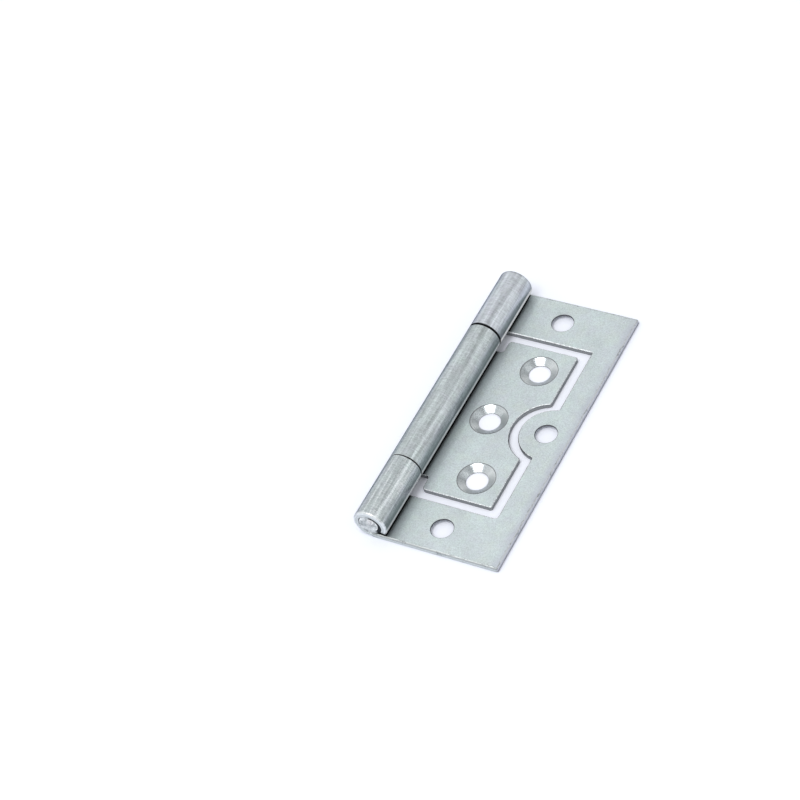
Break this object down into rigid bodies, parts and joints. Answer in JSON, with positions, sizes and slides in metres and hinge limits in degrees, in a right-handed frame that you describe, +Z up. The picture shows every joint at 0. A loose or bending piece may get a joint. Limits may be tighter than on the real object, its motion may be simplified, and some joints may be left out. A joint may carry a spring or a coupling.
{
  "type": "flush hinge",
  "caption": "Flush hinge in rolled sheet steel: the inner leaf folds into the cut-out of the outer leaf about a staked pin, with countersunk screw holes in each leaf.",
  "frame": {"origin": "bottom centre of the closed hinge's box, on the surface that both leaves lie on", "axes": "+X from the barrel towards the leaves' free edges, +Y along the pin, +Z up through the sheet towards the barrel's side"},
  "size_m": [0.0344, 0.075, 0.008],
  "materials": {
    "leaf_zinc": "satin zinc plate, pale grey with a faint green and blue cast",
    "pin_zinc": "satin zinc plate, staked end faces"
  },
  "bodies": {
    "outer_leaf_and_pin": {"outer_leaf": "leaf_zinc", "hinge_pin": "pin_zinc"},
    "inner_leaf": {"inner_leaf": "leaf_zinc"}
  },
  "joints": [
    {"name": "leaf_hinge", "type": "hinge", "parent": "outer_leaf_and_pin", "child": "inner_leaf", "pos_m": [-0.01325, 0, 0.004], "axis": [0, -1, 0], "continuous": true}
  ]
}
